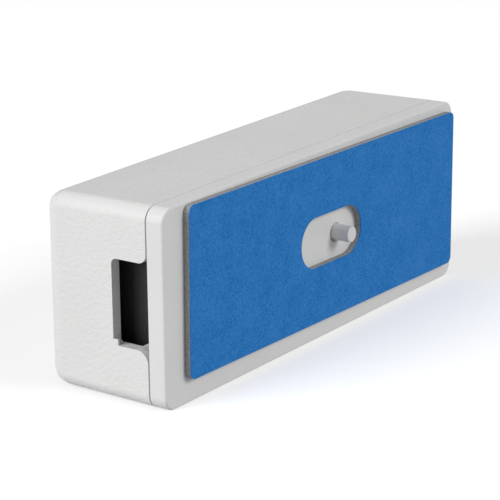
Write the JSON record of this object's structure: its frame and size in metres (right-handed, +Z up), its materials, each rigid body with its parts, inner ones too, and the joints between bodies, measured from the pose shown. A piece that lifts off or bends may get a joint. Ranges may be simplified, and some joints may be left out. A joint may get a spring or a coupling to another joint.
{
  "type": "door contact sensor",
  "caption": "Wireless door contact sensor: long white casing clipped to a base plate, with a sprung tamper plunger in a slotted adhesive pad, reed switch, board and battery inside.",
  "frame": {"origin": "middle of the bottom of the box that holds the whole sensor, plunger included, with the sensor stood on one long narrow side", "axes": "+X towards the end with the wire window, +Y towards the wall that the adhesive pad sticks to, +Z up"},
  "size_m": [0.08, 0.0252, 0.03],
  "materials": {
    "casing_white": "finely textured white ABS",
    "base_white": "satin white ABS",
    "plunger_white": "smooth white acetal",
    "clear_pipe": "clear polished acrylic",
    "foam": "dark grey closed-cell foam",
    "liner": "blue mottled release liner",
    "spring_steel": "bright drawn wire",
    "black_moulding": "black moulded thermoplastic",
    "sheet_metal": "tinned sheet steel",
    "tinned_metal": "tinned wire",
    "contact_metal": "nickel plated spring metal",
    "board_green": "green solder mask",
    "screw_steel": "zinc plated",
    "tray_black": "matte black ABS",
    "cell_sleeve": "shrink sleeve over steel can",
    "lead_red": "red insulation",
    "lead_black": "black insulation",
    "reed_glass": "greenish clear glass",
    "blade_metal": "nickel iron blades",
    "module_blue": "blue solder mask",
    "chip_black": "black epoxy",
    "capacitor_can": "bare aluminium can",
    "lamp": "clear epoxy lamp",
    "copper": "enamelled copper wire",
    "button_grey": "grey moulded plastic"
  },
  "bodies": {
    "base": {"base_plate": "base_white", "foam_pad": "foam", "release_liner": "liner", "switch_body": "black_moulding", "switch_cover": "sheet_metal", "switch_terminal_a": "tinned_metal", "switch_terminal_b": "tinned_metal", "contact_dome": "contact_metal", "circuit_board": "board_green", "board_screw_1": "screw_steel", "board_screw_2": "screw_steel", "battery_tray": "tray_black", "battery_cell": "cell_sleeve", "battery_spring": "spring_steel", "positive_contact": "contact_metal", "negative_contact": "contact_metal", "positive_lead": "lead_red", "negative_lead": "lead_black", "reed_glass": "reed_glass", "reed_lead_a": "tinned_metal", "reed_lead_b": "tinned_metal", "radio_module": "module_blue", "radio_shield": "sheet_metal", "microcontroller": "chip_black", "crystal": "sheet_metal", "capacitor": "capacitor_can", "status_led": "lamp", "antenna_coil": "copper", "pairing_switch": "black_moulding", "programming_header": "black_moulding", "plunger_spring": "spring_steel"},
    "cover": {"casing": "casing_white", "light_pipe": "clear_pipe"},
    "plunger": {"tamper_plunger": "plunger_white"},
    "button": {"pairing_button": "button_grey"},
    "reed_a": {"reed_blade_a": "blade_metal"},
    "reed_b": {"reed_blade_b": "blade_metal"}
  },
  "joints": [
    {"name": "cover_off", "type": "slide", "parent": "base", "child": "cover", "axis": [0, -1, 0], "range_m": [0, 0.03]},
    {"name": "plunger_press", "type": "slide", "parent": "base", "child": "plunger", "axis": [0, -1, 0], "range_m": [0, 0.0022], "stiffness_N_per_m": 150, "springref_m": -0.001, "deforming": ["plunger_spring"]},
    {"name": "pairing_press", "type": "slide", "parent": "base", "child": "button", "axis": [0, 1, 0], "range_m": [0, 0.00025], "stiffness_N_per_m": 400, "springref_m": -0.0005},
    {"name": "reed_close_a", "type": "hinge", "parent": "base", "child": "reed_a", "pos_m": [-0.0269, -0.0053, 0.0246], "axis": [0, 0, 1], "range_deg": [-0.7, 0], "stiffness_Nm_per_rad": 0.0001},
    {"name": "reed_close_b", "type": "hinge", "parent": "base", "child": "reed_b", "pos_m": [-0.0141, -0.0053, 0.0246], "axis": [0, 0, 1], "range_deg": [-0.7, 0], "stiffness_Nm_per_rad": 0.0001}
  ],
  "couplings": [
    {"joint": "reed_close_b", "follows": "reed_close_a", "ratio": 1}
  ]
}
